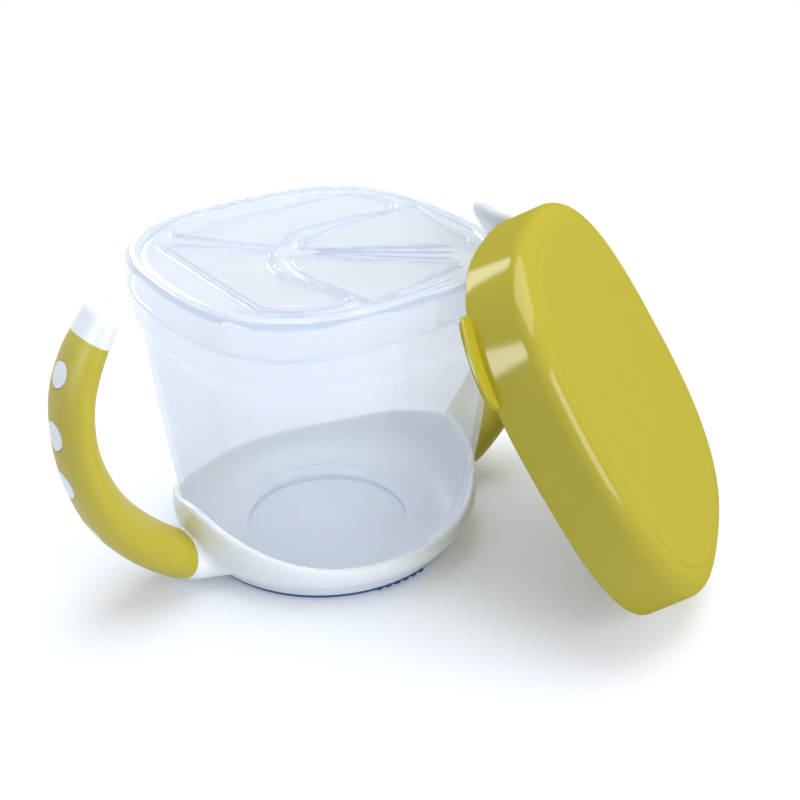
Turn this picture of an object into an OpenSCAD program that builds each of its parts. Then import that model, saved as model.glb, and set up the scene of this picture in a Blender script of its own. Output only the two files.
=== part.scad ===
// Toddler snack container: clear cup, two-handled base ring, four-flap
// snack insert and a storage lid leaning on the rim. Millimetres.
// +Z up, origin at the centre of the foot on the table, +X along the handles.

/* [Cup] */
// Outer half width of the cup wall just under the collar
wall_half = 43.5; // [41:0.1:45]
// Wall thickness of the cup
wall_t = 1.7; // [1.2:0.1:2.5]
// Squareness of the cup mouth, 2 is a circle
mouth_n = 2.85; // [2:0.05:4]
// Outer half width of the cup's rim, inside the insert
rim_half = 44; // [42:0.1:46]
// How far the collar stands out beyond the rim
collar_step = 1.1; // [0.6:0.1:2]
// Height of the collar's top, under the insert's skirt
collar_z = 77.7; // [70:0.1:80]
// Top of the cup rim
rim_z = 86.6; // [84:0.1:90]

/* [Base ring and handles] */
// Wall thickness of the ring at its lip
ring_t = 2.5; // [1.6:0.1:3]
// How far the ring's wall bulges out over its lip, low down
ring_bulge = 1.1; // [0:0.1:2]
// Height of the ring's wavy edge between the handles
ring_low = 12.2; // [11:0.1:18]
// Height of the ring's wavy edge at the handles
ring_high = 23.2; // [20:0.1:32]
// Radius of the opening in the ring's floor
floor_hole = 23.3; // [15:0.1:26]
// Thickness of the anti-slip pad under the ring
pad_t = 1.2; // [0.8:0.1:1.6]
// Half span over the centre lines of the two handles
handle_reach = 72.1; // [68:0.1:80]
// Height of a handle's tip centre
handle_top = 83; // [76:0.1:86]
// Half width of a handle core, across the finger
core_w = 8.5; // [6:0.1:10]
// Half thickness of a handle core
core_t = 3.8; // [2.5:0.1:5]
// Thickness of the soft grip sleeve
grip_t = 0.9; // [0.6:0.1:1.5]
// Radius of the round studs that show through the grip
stud_r = 3.7; // [2.5:0.1:4.5]

/* [Insert] */
// Wall thickness of the insert's skirt
skirt_t = 1.55; // [1.2:0.05:2.5]
// Thickness of the insert over the cup's rim
top_t = 1.1; // [0.8:0.1:2]
// Drop of the web from rim to centre
web_drop = 2.2; // [0:0.1:4]
// Thickness of the web and the flaps
web_t = 0.9; // [0.7:0.1:1.2]
// Slit between a flap and the web
slit = 0.5; // [0.45:0.05:0.8]
// Share of the cup's mouth that the flap pattern fills
pattern = 1; // [0.95:0.01:1.02]

/* [Lid] */
// Half width of the storage lid
lid_half = 53; // [51:0.1:55]
// Height of the lid
lid_h = 16.6; // [12:0.1:22]
// Squareness of the lid
lid_n = 2.72; // [2.4:0.02:3.2]
// Wall thickness of the lid
lid_t = 1.8; // [1.2:0.1:3]
// Radius of the lid's shoulder
lid_round = 4.8; // [3:0.1:8]
// Rise of the lid's crowned top over its shoulder
lid_crown = 0.9; // [0.4:0.1:2]
// Reach of the thumb tab
tab_reach = 5; // [3:0.1:7]
// Thickness of the thumb tab
tab_t = 1.3; // [1:0.1:2.4]
// Compass direction in which the leaning lid faces, from +X
lid_face = -52.5; // [-60:0.5:-45]
// Roll of the leaning lid in its own plane
lid_roll = 3.7; // [0:0.1:6]
// Distance from the rim's corner in to where the lid's edge rests
lean_in = 5.2; // [3:0.1:8]

/* [Clearances] */
// Cup in its ring, and insert on the cup
fit = 0.3; // [0.2:0.05:0.4]
// Grip sleeve around its core
sleeve_fit = 0.2; // [0.1:0.05:0.3]
// Leaning lid over the insert's top
lean_gap = 0.6; // [0.5:0.05:0.9]

/* [Hidden] */
m = 60;
foot_z = pad_t + 1.7;
collar_half = rim_half + collar_step;
mouth_half = rim_half - 1.8;
skirt_in = rim_half + fit;
insert_half = skirt_in + skirt_t;
insert_z = rim_z + fit + top_t;
c_clear = [0.86, 0.90, 0.94, 0.5];
c_white = [0.93, 0.95, 0.96];
c_lime = [0.76, 0.72, 0.28];
c_blue = [0.03, 0.22, 0.37];

// ---------- shared shapes ----------
function mix(a, b, t) = a + (b - a) * t;
function clamp(t) = max(0, min(1, t));
// radius of a rounded square (a superellipse) at angle t
function se(a, n, t) = a / pow(pow(abs(cos(t)), n) + pow(abs(sin(t)), n), 1 / n);
function se_ring(a, n, z) = [for (i = [0:m - 1]) let (t = 360 * i / m, r = se(a, n, t))
    [r * cos(t), r * sin(t), z]];

// a closed solid through a stack of rings; loop = true joins the last to the first
module skin(rings, loop = false) {
    c = len(rings[0]);
    k = len(rings);
    last = loop ? k - 1 : k - 2;
    sides = [for (i = [0:last], j = [0:c - 1])
        let (a = i * c + j, b = i * c + (j + 1) % c,
             d = ((i + 1) % k) * c + j, e = ((i + 1) % k) * c + (j + 1) % c)
        each [[a, d, e], [a, e, b]]];
    caps = loop ? [] : [[for (j = [0:c - 1]) j], [for (j = [c - 1:-1:0]) (k - 1) * c + j]];
    polyhedron(points = [for (r = rings) each r], faces = concat(sides, caps), convexity = 8);
}

// value of a table [z, a] at z, straight between rows
function look(tab, z, i = 0) =
    i >= len(tab) - 2 || z <= tab[i + 1][0]
        ? mix(tab[i][1], tab[i + 1][1], clamp((z - tab[i][0]) / (tab[i + 1][0] - tab[i][0])))
        : look(tab, z, i + 1);

// smooth row of a table at position t, counted in rows
function cr(p, t) =
    let (i = min(floor(t), len(p) - 2), f = t - i,
         a = p[max(i - 1, 0)], b = p[i], c = p[i + 1], d = p[min(i + 2, len(p) - 1)])
    0.5 * (2 * b + (c - a) * f + (2 * a - 5 * b + 4 * c - d) * f * f
           + (3 * b - a - 3 * c + d) * f * f * f);

// polygon grown outwards by d (points run anticlockwise)
function unit2(v) = v / norm(v);
function grow(p, d) = [for (i = [0:len(p) - 1])
    let (a = p[(i + len(p) - 1) % len(p)], b = p[i], c = p[(i + 1) % len(p)],
         e = unit2(b - a), f = unit2(c - b),
         n1 = [e[1], -e[0]], n2 = [f[1], -f[0]])
    b + (n1 + n2) * d / (1 + n1 * n2)];

// ---------- cup ----------
function cup_n(z) = mix(2, mouth_n, clamp((z - 8) / 60));
// outer wall, [z, half width]
cup_wall = [[foot_z, wall_half - 10.5], [foot_z + 1, wall_half - 7.5],
            [foot_z + 3.3, wall_half - 5.1], [foot_z + 6.5, wall_half - 3.6],
            [14, wall_half - 2.6], [22, wall_half - 1.9], [32, wall_half - 1.1],
            [43, wall_half - 0.5], [55, wall_half - 0.1], [collar_z - 12.2, wall_half]];

module cup() color(c_clear) {
    outer = concat(
        [[foot_z + 1.1, wall_half - 16.9], [foot_z, wall_half - 16.1]], cup_wall,
        [[collar_z - 10.5, mix(wall_half, collar_half, 0.3)],
         [collar_z - 8.7, mix(wall_half, collar_half, 0.8)], [collar_z - 6.2, collar_half],
         [collar_z - 0.6, collar_half], [collar_z, collar_half - 0.5], [collar_z, rim_half],
         [rim_z - 0.4, rim_half], [rim_z, rim_half - 0.4]]);
    inner = concat(
        [[rim_z, mouth_half + 0.4], [rim_z - 0.4, mouth_half], [collar_z - 6, mouth_half]],
        [for (i = [9:-1:4]) [cup_wall[i][0], min(cup_wall[i][1] - wall_t, mouth_half)]],
        [[foot_z + 6.9, wall_half - 3.8 - wall_t], [foot_z + 4.5, wall_half - 5.6 - wall_t],
         [foot_z + 3.3, wall_half - 8.4 - wall_t], [foot_z + 2.9, wall_half - 12.8 - wall_t]]);
    skin([for (p = concat(outer, inner)) se_ring(p[1], cup_n(p[0]), p[0])]);
}

// ---------- base ring, handles and grips ----------
function ring_top(t) = mix(ring_low, ring_high, pow(cos(t), 4));
// the ring's inner face follows the cup, and its outer face goes round it
function seat(t, z) = se(look(cup_wall, z) + fit, cup_n(z), t);
function face(z) = look(cup_wall, z) + fit + ring_t;

// half section of the ring at angle t, [radius, z]
function ring_section(t) =
    let (h = ring_top(t), s = seat(t, h), k = mix(8.5, h, 0.55), c = foot_z - fit,
         seats = [h - 0.5, min(22, h - 0.8), min(14, h - 1.2), foot_z + 6.5, foot_z + 3.3,
                  foot_z + 1])
    concat(
    [[floor_hole, pad_t], [face(foot_z) + 1.5, pad_t], [face(foot_z) + 2.9, pad_t + 0.8],
     [face(foot_z + 1.6) + 0.4, foot_z + 1.6], [face(6) + ring_bulge * 0.8, 6],
     [face(8.5) + ring_bulge, 8.5], [face(k) + ring_bulge * 0.6, k],
     [face(h - 1.4), h - 1.4], [mix(s, face(h), 0.8), h - 0.4], [mix(s, face(h), 0.5), h],
     [mix(s, face(h), 0.2), h]],
    [for (z = seats) [seat(t, z), z]], [[seat(t, foot_z), c], [floor_hole, c]]);

module ring_body() {
    cuts = [for (i = [0:m - 1]) ring_section(360 * i / m)];
    skin([for (k = [0:len(cuts[0]) - 1]) [for (i = [0:m - 1])
        let (t = 360 * i / m, p = cuts[i][k]) [p[0] * cos(t), p[0] * sin(t), p[1]]]], true);
}
// room the cup needs inside the handle roots
module cup_room() skin(concat([se_ring(seat(0, foot_z), 2, pad_t + 0.1)],
    [for (i = [0:6]) let (z = cup_wall[i][0]) se_ring(seat(0, z), cup_n(z), z)]));

// centre line of a handle from inside the ring to the tip:
// [x, z, half width, half thickness], first by shares of the reach and height
function bow(x, z, k = 1) = [mix(wall_half, handle_reach, x), mix(pad_t, handle_top, z),
    core_w * k, core_t * k];
spine = [bow(-0.143, 0.09) + [0, 0, 6.5, 1.6], bow(-0.038, 0.077) + [0, 0, 2.7, 0.6],
         bow(0.094, 0.082) + [0, 0, 0.3, 0.2], bow(0.308, 0.137), bow(0.577, 0.24),
         bow(0.797, 0.358), bow(0.941, 0.493), bow(1, 0.627, 0.97), bow(0.962, 0.774, 0.92),
         bow(0.822, 0.897, 0.84), bow(0.626, 1, 0.74)];
tip = len(spine) - 1;
// rows of the centre line between which the grip lies
grip_from = 2.35;
grip_to = 9.45;
grip_out = sleeve_fit + grip_t;
ledge = 0.035;
function along(t) = let (d = cr(spine, min(t + 0.02, tip)) - cr(spine, max(t - 0.02, 0)))
    unit2([d[0], d[1]]);
// oval across the handle at row t, grown by g, pushed s along the line, scaled by k
function oval(t, g = 0, s = 0, k = 1, c = 18) =
    let (p = cr(spine, t), d = along(t))
    [for (i = [0:c - 1])
        let (a = 360 * i / c, u = (p[3] + g) * k * cos(a), w = (p[2] + g) * k * sin(a))
        [p[0] + d[0] * s + d[1] * u, w, p[1] + d[1] * s - d[0] * u]];

// the core is as thick as the grip beyond the grip's two ends
module core() skin(concat(
    [for (t = [0, 0.5, 1, 1.5, 2, grip_from - ledge]) oval(t, grip_out)],
    [for (t = concat(grip_from - ledge, [for (t = [2.5:0.5:9]) t], grip_to + ledge)) oval(t)],
    [for (t = [grip_to + ledge, tip]) oval(t, grip_out)],
    [for (s = [1.6, 3.1, 4.2, 4.9]) oval(tip, grip_out, s, sqrt(1 - pow(s / 5.05, 2)))]));

studs = [4.9, 6.15, 7.3, 8.5];
// round stud on the outer face at row t of the handle line
module stud(t, r, lift) {
    p = cr(spine, t);
    d = along(t);
    translate([p[0], 0, p[1]]) rotate([0, atan2(d[1], -d[0]), 0])
        cylinder(r = r, h = p[3] + grip_out + lift, $fn = 40);
}

module handle_ring() color(c_white) difference() {
    union() {
        ring_body();
        difference() {
            for (s = [0, 1]) mirror([s, 0, 0]) core();
            cup_room();
        }
        for (s = [0, 1], t = studs) mirror([s, 0, 0]) stud(t, stud_r, 0);
    }
    for (i = [0:5]) tooth(i, 0.15);
}

module grip() {
    n = 14;
    st = [for (i = [0:n]) mix(grip_from, grip_to, i / n)];
    difference() {
        skin(concat(
            [oval(st[0], sleeve_fit), oval(st[0], grip_out - 0.35)],
            [for (i = [0:n]) oval(mix(grip_from + 0.05, grip_to - 0.05, i / n), grip_out)],
            [oval(st[n], grip_out - 0.35), oval(st[n], sleeve_fit)],
            [for (i = [n - 1:-1:1]) oval(st[i], sleeve_fit)]), true);
        for (t = studs) stud(t, stud_r + sleeve_fit, 4);
    }
}
module grip_right() color(c_lime) grip();
module grip_left() color(c_lime) mirror([1, 0, 0]) grip();

// ---------- anti-slip pad ----------
pad_r = wall_half - 6.6;
// small block that keys the pad into the lower edge of the ring
module tooth(i, g) rotate(-101 + 4.2 * i) translate([pad_r - 1.4, -0.8 - g, 0.4])
    cube([3.3, 1.6 + 2 * g, pad_t + 0.1 + g]);
module base_pad() color(c_blue) union() {
    difference() {
        cylinder(r1 = pad_r - 0.5, r2 = pad_r, h = pad_t, $fn = 120);
        translate([0, 0, -1]) cylinder(r = floor_hole, h = 4, $fn = 96);
        for (r = [mix(floor_hole, pad_r, 0.3):3:pad_r - 2]) translate([0, 0, -0.01])
            difference() {
                cylinder(r = r + 0.4, h = 0.4, $fn = 96);
                translate([0, 0, -1]) cylinder(r = r - 0.4, h = 3, $fn = 96);
            }
    }
    for (i = [0:5]) intersection() {
        tooth(i, 0);
        cylinder(r = pad_r + 1.2, h = 5, $fn = 120);
    }
}

// ---------- insert ----------
// plan point from the diagonal frame (u towards the front right corner)
function uv(u, v) = [(u + v) / sqrt(2), (v - u) / sqrt(2)];
function flip(p) = [for (i = [len(p) - 1:-1:0]) [p[i][0], -p[i][1]]];
// the flap points are drawn for a mouth of this half width
drawn_for = 42.2;
scale_plan = pattern * mouth_half / drawn_for;
function plan(p) = scale_plan * [for (q = p) uv(q[0], q[1])];
// the large flap behind, and the smaller one on the right, both in u, v;
// each starts with the two ends of its straight hinge edge
flap_large = [[-3, 41.4], [-39.9, 4.5], [-34, 3], [-25, 2.2], [-14, 2], [-11.2, 2.6],
              [-9.9, 4.6], [-9.7, 8], [-9.2, 11.6], [-6.8, 15.6], [-3.1, 19.2],
              [0.8, 22.2], [4.8, 24.9], [9, 27.6], [13.2, 30.1], [16, 31.9],
              [16.4, 33.9], [12.7, 38.1], [7.2, 41.2], [1.7, 42.1]];
flap_small = [[39.4, 8.6], [21.2, 34.3], [14.6, 28.7], [9, 24.3], [3.7, 19.5],
              [0.3, 15.8], [-2.3, 11.9], [-4.4, 8], [-4.9, 5.2], [-4.2, 3.4],
              [-2.4, 2.7], [0.5, 2.9], [13, 4.4], [26, 5.9], [37.6, 7.2], [39, 7.8]];
flaps = [plan(flap_large), plan(flap_small), plan(flip(flap_large)), plan(flip(flap_small))];

// the two ends of each flap's hinge edge
hinges = [for (i = [0:3]) let (f = flaps[i], n = len(f)) i < 2 ? [f[0], f[1]]
                                                               : [f[n - 1], f[n - 2]]];
far = insert_half * 1.2;
function dish_z(r) = insert_z - 0.6 - web_drop * (1 - r / mouth_half);
module dish() rotate_extrude($fn = 120)
    polygon([[0, dish_z(0) - web_t], [far, dish_z(far) - web_t], [far, dish_z(far)],
             [0, dish_z(0)]]);
module slab(p) intersection() {
    translate([0, 0, insert_z - 9]) linear_extrude(height = 14) polygon(p);
    dish();
}
// low bar on the web from a to b
module bar(a, b, w, h) {
    d = b - a;
    z = dish_z(min(norm(a), norm(b), norm(a + b) / 2));
    translate([a[0], a[1], z - 0.5]) rotate(atan2(d[1], d[0]))
        translate([0, -w / 2, 0]) cube([norm(d), w, h + 0.5]);
}

module insert_rim() {
    h = insert_half;
    z = insert_z;
    low = collar_z + fit;
    skin([for (p = [[h - 0.3, low], [h, low + 1], [h, z - 3.4], [h - 0.4, z - 1.7],
                    [h - 1.1, z - 0.6], [h - 2.1, z - 0.05], [h - 3.4, z], [h - 4.3, z - 0.1],
                    [mouth_half - 1.1, z - 0.6], [mouth_half - 1.1, z - 0.8 - top_t],
                    [mouth_half - fit, z - 0.8 - top_t], [mouth_half - fit, z - top_t],
                    [skirt_in, z - top_t], [skirt_in, low]])
        se_ring(p[0], mouth_n, p[1])], true);
}

module insert_frame() color(c_clear) difference() {
    union() {
        insert_rim();
        difference() {
            slab([for (i = [0:m - 1]) let (t = 360 * i / m, r = se(mouth_half - 0.6, mouth_n, t))
                [r * cos(t), r * sin(t)]]);
            for (f = flaps)
                translate([0, 0, insert_z - 9]) linear_extrude(height = 14)
                    polygon(grow(f, slit));
        }
        // ridges beside the four hinges, and three along the wide arm
        for (h = hinges) hinge_ridge(h[0], h[1]);
        for (v = [-1, 0, 1])
            bar(uv(1, 1.5 * v) * scale_plan, uv(37.5, 4.4 * v) * scale_plan, 0.9, 0.5);
    }
    // finger notches along the front of the rim
    for (b = [[[-31.5, -34.4], [-13.5, -40.6]], [[-36, -22.5], [-33, -29.2]],
              [[-5.4, -41.2], [18, -39.2]]]) {
        d = b[1] - b[0];
        translate([b[0][0], b[0][1], insert_z - 0.7]) rotate(atan2(d[1], d[0]))
            translate([0, -0.8, 0]) cube([norm(d), 1.6, 3]);
    }
}
// ridge on the web just outside a hinge edge that runs from a to b
module hinge_ridge(a, b) {
    o = unit2(a + b) * (slit + 0.6);
    bar(a + o, b + o, 0.9, 0.5);
}

module flap_back() color(c_clear) slab(flaps[0]);
module flap_left() color(c_clear) slab(flaps[2]);
module flap_right() color(c_clear) slab(flaps[1]);
module flap_front() color(c_clear) slab(flaps[3]);

// ---------- storage lid ----------
module lid_shape() {
    a = lid_half;
    h = lid_h;
    r = lid_round;
    q = r - lid_t;
    c = lid_crown;
    bend = [[0, 0], [0.08, 0.38], [0.29, 0.71], [0.62, 0.92], [1, 1]];
    inner = concat(
        [[h + c - lid_t, a * 0.3], [h + c * 0.6 - lid_t, a * 0.65]],
        [for (i = [4:-1:0]) [h - r + q * bend[i][1], a - lid_t - 0.6 - q * bend[i][0]]],
        [[0, a - lid_t]]);
    outer = concat(
        [[0, a]], [for (k = bend) [h - r + r * k[1], a - 0.6 - r * k[0]]],
        [[h, a - 1.5 - r], [h + 0.3, a - 2 - r], [h + c * 0.6, a * 0.65], [h + c, a * 0.3]]);
    skin([for (p = concat(inner, outer)) se_ring(p[1], lid_n, p[0])]);
}
// thumb tab for opening, at the corner of the open edge
module lid_tab() {
    mid = 143;
    half = 11.7;
    function edge(t, d) = let (r = se(lid_half, lid_n, t) + d) [r * cos(t), r * sin(t)];
    linear_extrude(height = tab_t) polygon(concat(
        [for (k = [-1, -0.98, -0.94, -0.88, -0.8, each [-0.7:0.1:0.7], 0.8, 0.88, 0.94, 0.98, 1])
            edge(mid + half * k, tab_reach * sqrt(1 - pow(k, 6)))],
        [for (k = [1:-0.2:-1]) edge(mid + half * k, -lid_t / 2)]));
}

// The lid stands on the low side of its open edge, at z = 0, and the inside of the
// high side rests on the insert near the rim's corner, at lean_top.
lid_in = lid_half - lid_t;
lid_p = lid_n / (lid_n - 1);
function stand(tilt) = lid_half * pow(pow(abs(sin(lid_roll)), lid_p)
    + pow(abs(cos(lid_roll) * sin(tilt)), lid_p), 1 / lid_p);
// tilt at which the high side is level with the insert's top, by halving steps
function lean(lo, hi, k) = let (t = (lo + hi) / 2)
    k == 0 ? t
    : stand(t) + lid_in * cos(lid_roll) * sin(t) > insert_z + lean_gap
        ? lean(lo, t, k - 1) : lean(t, hi, k - 1);
lid_tilt = lean(30, 80, 20);
lid_z = lid_face + 90;
up = [cos(lid_z) * sin(lid_roll) * sin(lid_tilt) - sin(lid_z) * cos(lid_tilt),
      sin(lid_z) * sin(lid_roll) * sin(lid_tilt) + cos(lid_z) * cos(lid_tilt)];
lean_r = se(insert_half, mouth_n, 45) - lean_in;
lean_top = [lean_r * cos(-40.8), lean_r * sin(-40.8)];
lid_at = concat(lean_top - lid_in * up, stand(lid_tilt));
module storage_lid() color(c_lime)
    translate(lid_at) rotate([lid_tilt, lid_roll, lid_z]) union() {
        lid_shape();
        lid_tab();
    }

cup();
handle_ring();
grip_left();
grip_right();
base_pad();
insert_frame();
flap_back();
flap_left();
flap_front();
flap_right();
storage_lid();
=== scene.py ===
"""Looks of the toddler snack container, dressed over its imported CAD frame. Sizes in mm."""
import math

import bmesh
import bpy
import numpy as np
from mathutils import Matrix, Vector, geometry


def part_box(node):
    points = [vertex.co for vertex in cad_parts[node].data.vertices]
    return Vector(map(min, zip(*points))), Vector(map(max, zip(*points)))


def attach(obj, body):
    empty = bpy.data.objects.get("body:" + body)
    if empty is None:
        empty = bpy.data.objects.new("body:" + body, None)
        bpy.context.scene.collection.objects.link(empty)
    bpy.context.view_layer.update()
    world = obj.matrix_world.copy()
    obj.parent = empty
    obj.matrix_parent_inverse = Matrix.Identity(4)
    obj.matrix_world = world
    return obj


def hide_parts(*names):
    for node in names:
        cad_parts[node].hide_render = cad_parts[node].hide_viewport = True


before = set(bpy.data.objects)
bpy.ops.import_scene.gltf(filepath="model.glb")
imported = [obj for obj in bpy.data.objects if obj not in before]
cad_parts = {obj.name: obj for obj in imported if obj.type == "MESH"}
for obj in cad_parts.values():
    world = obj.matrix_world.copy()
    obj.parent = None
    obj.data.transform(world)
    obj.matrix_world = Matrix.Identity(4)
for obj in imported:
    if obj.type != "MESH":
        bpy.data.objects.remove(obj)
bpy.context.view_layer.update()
MM = 0.001


# ---- Cup ----
# Clarified polypropylene cup, injection moulded in one shot: round at the foot, a rounded
# square at the mouth, with a thicker collar that carries the insert. The wall is clear
# with a faint cold haze, and slow flow waves bend what is seen through it.
cup_low, cup_high = (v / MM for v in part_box("cup"))
foot_z, rim_z, collar_half = cup_low.z, cup_high.z, cup_high.x
wall_half = collar_half - 1.6
rim_half = collar_half - 1.1
mouth_half = rim_half - 1.8
collar_z = rim_z - 8.9
cup_wall_t = 1.7
# The mouth's outline is a superellipse of this power. The cup is round, power 2, up to
# round_to_z, and reaches the mouth's power square_over higher.
mouth_n = 2.85
round_to_z, square_over = 8, 60
# Points round a ring.
ROUND = 192


def linear(code):
    """An sRGB hex colour as linear RGBA."""
    parts = [int(code[i:i + 2], 16) / 255 for i in (1, 3, 5)]
    return [c / 12.92 if c <= 0.04045 else ((c + 0.055) / 1.055) ** 2.4 for c in parts] + [1]


def add(tree, kind, inputs=None, **settings):
    """Adds a shader node with its settings, and sets or links its inputs."""
    node = tree.nodes.new(kind)
    for name, value in settings.items():
        setattr(node, name, value)
    for name, value in (inputs or {}).items():
        if isinstance(value, bpy.types.NodeSocket):
            tree.links.new(value, node.inputs[name])
        else:
            node.inputs[name].default_value = value
    return node


def material_of(name):
    """An empty node material, and its tree."""
    material = bpy.data.materials.new(name)
    material.use_nodes = True
    material.node_tree.nodes.clear()
    return material, material.node_tree


def clarified_polypropylene(name, tint, haze_tint, clearness, thinness, milk, wave):
    """Clear moulded plastic with a little milky haze. thinness is the share of light that
    goes straight through each face, milk the share that it scatters onwards, and wave the
    size of its flow waves in mm."""
    material, tree = material_of(name)
    place = add(tree, "ShaderNodeTexCoord")
    flow = add(tree, "ShaderNodeTexNoise",
               {"Vector": place.outputs["Object"], "Scale": 1 / (wave * MM), "Detail": 2.0})
    cloud = add(tree, "ShaderNodeMapRange", {"Value": flow.outputs["Fac"], "From Min": 0.3,
                                             "From Max": 0.7})
    colour = add(tree, "ShaderNodeMix",
                 {"Factor": cloud.outputs["Result"], 6: linear(tint), 7: linear(haze_tint)},
                 data_type="RGBA")
    waves = add(tree, "ShaderNodeBump", {"Height": flow.outputs["Fac"], "Strength": 0.06,
                                         "Distance": 0.4 * MM})
    body = add(tree, "ShaderNodeBsdfPrincipled",
               {"Base Color": colour.outputs[2], "Normal": waves.outputs["Normal"],
                "Transmission Weight": clearness, "Roughness": 0.03, "IOR": 1.46,
                "Alpha": 1 - thinness})
    scatter = add(tree, "ShaderNodeBsdfTranslucent", {"Color": linear(haze_tint)})
    surface = add(tree, "ShaderNodeMixShader", {0: milk, 1: body.outputs["BSDF"],
                                                2: scatter.outputs["BSDF"]})
    add(tree, "ShaderNodeOutputMaterial", {"Surface": surface.outputs[0]})
    return material


def look_up(rows, z):
    """The half width at height z in rows of (z, half width)."""
    return np.interp(z, [r[0] for r in rows], [r[1] for r in rows])


def squared(half, n, angle):
    """Radius of a rounded square (a superellipse) at an angle in radians."""
    return half / (np.abs(np.cos(angle)) ** n + np.abs(np.sin(angle)) ** n) ** (1 / n)


def squared_ring(half, n, z):
    """One ring of points in the outline of a rounded square."""
    angle = np.arange(ROUND) * 2 * math.pi / ROUND
    radius = squared(half, n, angle)
    return np.stack([radius * np.cos(angle), radius * np.sin(angle), np.full(ROUND, z)], 1)


def turned(corners, closed=False, steps=4):
    """An outline through corners (a, z, radius), each rounded in this many steps. An open
    outline keeps its two ends."""
    out = []
    for i, (a, z, radius) in enumerate(corners):
        here = Vector((a, z))
        if radius == 0 or not closed and i in (0, len(corners) - 1):
            out.append((a, z))
            continue
        back = Vector(corners[i - 1][:2]) - here
        on = Vector(corners[(i + 1) % len(corners)][:2]) - here
        cut = radius / max(math.tan(back.angle(on) / 2), 0.05)
        start = here + back.normalized() * min(cut, back.length * 0.45)
        end = here + on.normalized() * min(cut, on.length * 0.45)
        for k in range(steps + 1):
            t = k / steps
            point = start * (1 - t) ** 2 + here * (2 * t * (1 - t)) + end * t ** 2
            out.append((point.x, point.y))
    return out


def smooth_row(rows, t):
    """A smooth curve through rows, at position t counted in rows."""
    rows = np.asarray(rows, float)
    i = min(int(t), len(rows) - 2)
    f = t - i
    a, b, c, d = rows[max(i - 1, 0)], rows[i], rows[i + 1], rows[min(i + 2, len(rows) - 1)]
    return 0.5 * (2 * b + (c - a) * f + (2 * a - 5 * b + 4 * c - d) * f ** 2
                  + (3 * b - a - 3 * c + d) * f ** 3)


def make(name, points, faces, material):
    """A smooth mesh object from points in mm."""
    mesh = bpy.data.meshes.new(name)
    mesh.from_pydata([tuple(p) for p in np.asarray(points) * MM], [], faces)
    mesh.materials.append(material)
    mesh.shade_smooth()
    mesh.validate()
    piece = bpy.data.objects.new(name, mesh)
    bpy.context.scene.collection.objects.link(piece)
    return piece


def skin(count, size, loop=False):
    """The faces between count rings of size points; loop joins the last ring to the first."""
    return [(i * size + j, i * size + (j + 1) % size,
             (i + 1) % count * size + (j + 1) % size, (i + 1) % count * size + j)
            for i in range(count if loop else count - 1) for j in range(size)]


def loft(name, rings, material, loop=False):
    """A closed skin through equal rings of points, with end caps unless it is a loop."""
    count, size = len(rings), len(rings[0])
    faces = skin(count, size, loop)
    if not loop:
        faces += [tuple(range(size))[::-1], tuple((count - 1) * size + j for j in range(size))]
    return make(name, np.concatenate(rings), faces, material)


def even(piece):
    """Keeps flat faces flat beside their rounded edges."""
    piece.modifiers.new("even", "WEIGHTED_NORMAL").keep_sharp = True
    return piece


def cup_n(z):
    """Power of the cup's outline at a height: round at the foot, squarer at the mouth."""
    return 2 + (mouth_n - 2) * min(max((z - round_to_z) / square_over, 0), 1)


# The wall's outside as (height, half width), then the whole section from the floor's
# underside up the outside and down the inside.
wall_rows = [(foot_z, wall_half - 10.5), (foot_z + 1, wall_half - 7.5),
             (foot_z + 3.3, wall_half - 5.1), (foot_z + 6.5, wall_half - 3.6),
             (14, wall_half - 2.6), (22, wall_half - 1.9), (32, wall_half - 1.1),
             (43, wall_half - 0.5), (55, wall_half - 0.1), (collar_z - 12.2, wall_half)]
wall_curve = [smooth_row(wall_rows, i / 4) for i in range(4 * len(wall_rows) - 3)]
inside_curve = [(a - cup_wall_t, z) for z, a in wall_curve[::-1] if z > foot_z + 8]
cup_outline = (
    turned([(wall_half - 17.5, foot_z + 1.1, 0), (wall_half - 16.9, foot_z + 1.1, 0.5),
            (wall_half - 16.1, foot_z, 0.5), (wall_half - 12, foot_z, 0)])
    + [(a, z) for z, a in wall_curve]
    + turned([(wall_half, collar_z - 11.2, 0), (collar_half, collar_z - 7.2, 2.5),
              (collar_half, collar_z, 0.6), (rim_half, collar_z, 0.2), (rim_half, rim_z, 0.6),
              (mouth_half, rim_z, 0.6), (mouth_half, collar_z - 6, 3),
              (inside_curve[0][0], collar_z - 12, 0)])
    + inside_curve
    + turned([(wall_half - 3.8 - cup_wall_t, foot_z + 6.9, 0),
              (wall_half - 6.2 - cup_wall_t, foot_z + 2.9, 5), (wall_half - 14, foot_z + 2.9, 0)],
             steps=8))
cup_plastic = clarified_polypropylene("clarified_polypropylene", "#f1f5fa", "#e7edf5",
                                      clearness=0.5, thinness=0.86, milk=0.2, wave=14)
cup = even(loft("cup_shell", [squared_ring(a, cup_n(z), z) for a, z in cup_outline],
                cup_plastic))
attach(cup, "base")
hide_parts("cup")


# ---- Base ring with its handles ----
# White polypropylene ring that the cup snaps into, moulded in one with the two curved
# handle cores. Its edge rises in a soft wave at each handle, and its satin skin shows
# broad soft highlights.
ring_t = 2.5
# How far the outside bulges, at which height, and where the face above it starts.
ring_bulge, bulge_z, upper_z = 1.1, 8, 8.5
# Height of the edge between the handles and at them, and how much lower it runs behind.
ring_low, ring_high, back_drop = 12.2, 23.2, 2.2
floor_hole = 23.3
# The pad's teeth rise this far above its flat top, on which the ring starts.
tooth_rise = 0.5
pad_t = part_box("base_pad")[1].z / MM - tooth_rise
cup_fit = 0.3
handle_reach, handle_top = 72.1, 83.0
# Half the core's width and half its thickness.
core_w, core_t = 8.5, 3.8
white, tree = material_of("satin_moulded_polypropylene")
place = add(tree, "ShaderNodeTexCoord")
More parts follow.
